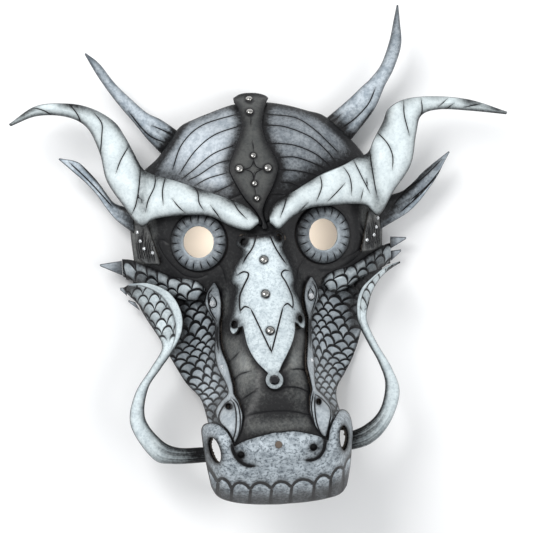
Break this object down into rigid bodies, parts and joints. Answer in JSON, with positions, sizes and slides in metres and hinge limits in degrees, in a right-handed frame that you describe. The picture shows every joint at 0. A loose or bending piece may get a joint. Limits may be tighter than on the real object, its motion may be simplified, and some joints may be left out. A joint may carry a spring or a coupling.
{
  "type": "dragon mask",
  "caption": "Moulded leather dragon face mask with horns, brows, scaled cheeks, whiskers and a toothed snout, open behind for the wearer's face.",
  "frame": {"origin": "centre of the bounding box's bottom, on the table that the mask lies on", "axes": "+Z out of the face, +Y to the top of the head, +X to the right in the picture"},
  "size_m": [0.3122, 0.3058, 0.1128],
  "materials": {
    "antiqued_silver_leather": "silver paint rubbed over black, satin",
    "antiqued_white_leather": "silver-white paint rubbed over black, satin",
    "dark_leather": "black and charcoal, satin",
    "scaled_leather": "black with silver-grey scales, satin",
    "chrome_stud": "polished",
    "crystal": "faceted"
  },
  "bodies": {
    "root": {"forehead_dome": "antiqued_silver_leather", "snout_plate": "antiqued_silver_leather", "crest_strap": "dark_leather", "face_panel": "dark_leather", "nose_plate": "antiqued_white_leather", "crest_stud_1": "chrome_stud", "crest_stud_2": "chrome_stud", "crest_stud_3": "chrome_stud", "crest_stud_4": "chrome_stud", "crest_stud_5": "chrome_stud", "crest_stud_6": "chrome_stud", "crest_stud_7": "chrome_stud", "nose_stud_1": "chrome_stud", "nose_stud_2": "chrome_stud", "nose_stud_3": "chrome_stud", "nose_gem": "crystal", "snout_gem": "crystal", "eye_ring_left": "antiqued_silver_leather", "side_strap_left": "antiqued_silver_leather", "horn_left": "antiqued_silver_leather", "ear_left": "antiqued_silver_leather", "cheek_left": "scaled_leather", "cheekbone_left": "scaled_leather", "temple_left": "dark_leather", "brow_horn_left": "antiqued_white_leather", "whisker_left": "antiqued_white_leather", "leaf_gem_left": "crystal", "strap_gem_left": "crystal", "temple_gem_left_1": "crystal", "temple_gem_left_2": "crystal", "temple_gem_left_3": "crystal", "temple_gem_left_4": "crystal", "eye_ring_right": "antiqued_silver_leather", "side_strap_right": "antiqued_silver_leather", "horn_right": "antiqued_silver_leather", "ear_right": "antiqued_silver_leather", "cheek_right": "scaled_leather", "cheekbone_right": "scaled_leather", "temple_right": "dark_leather", "brow_horn_right": "antiqued_white_leather", "whisker_right": "antiqued_white_leather", "leaf_gem_right": "crystal", "strap_gem_right": "crystal", "temple_gem_right_1": "crystal", "temple_gem_right_2": "crystal", "temple_gem_right_3": "crystal", "temple_gem_right_4": "crystal", "cheek_spike_left_1": "antiqued_silver_leather", "cheek_spike_left_2": "antiqued_silver_leather", "cheek_spike_left_3": "antiqued_silver_leather", "cheek_spike_right_1": "antiqued_silver_leather", "cheek_spike_right_2": "antiqued_silver_leather"}
  },
  "joints": []
}
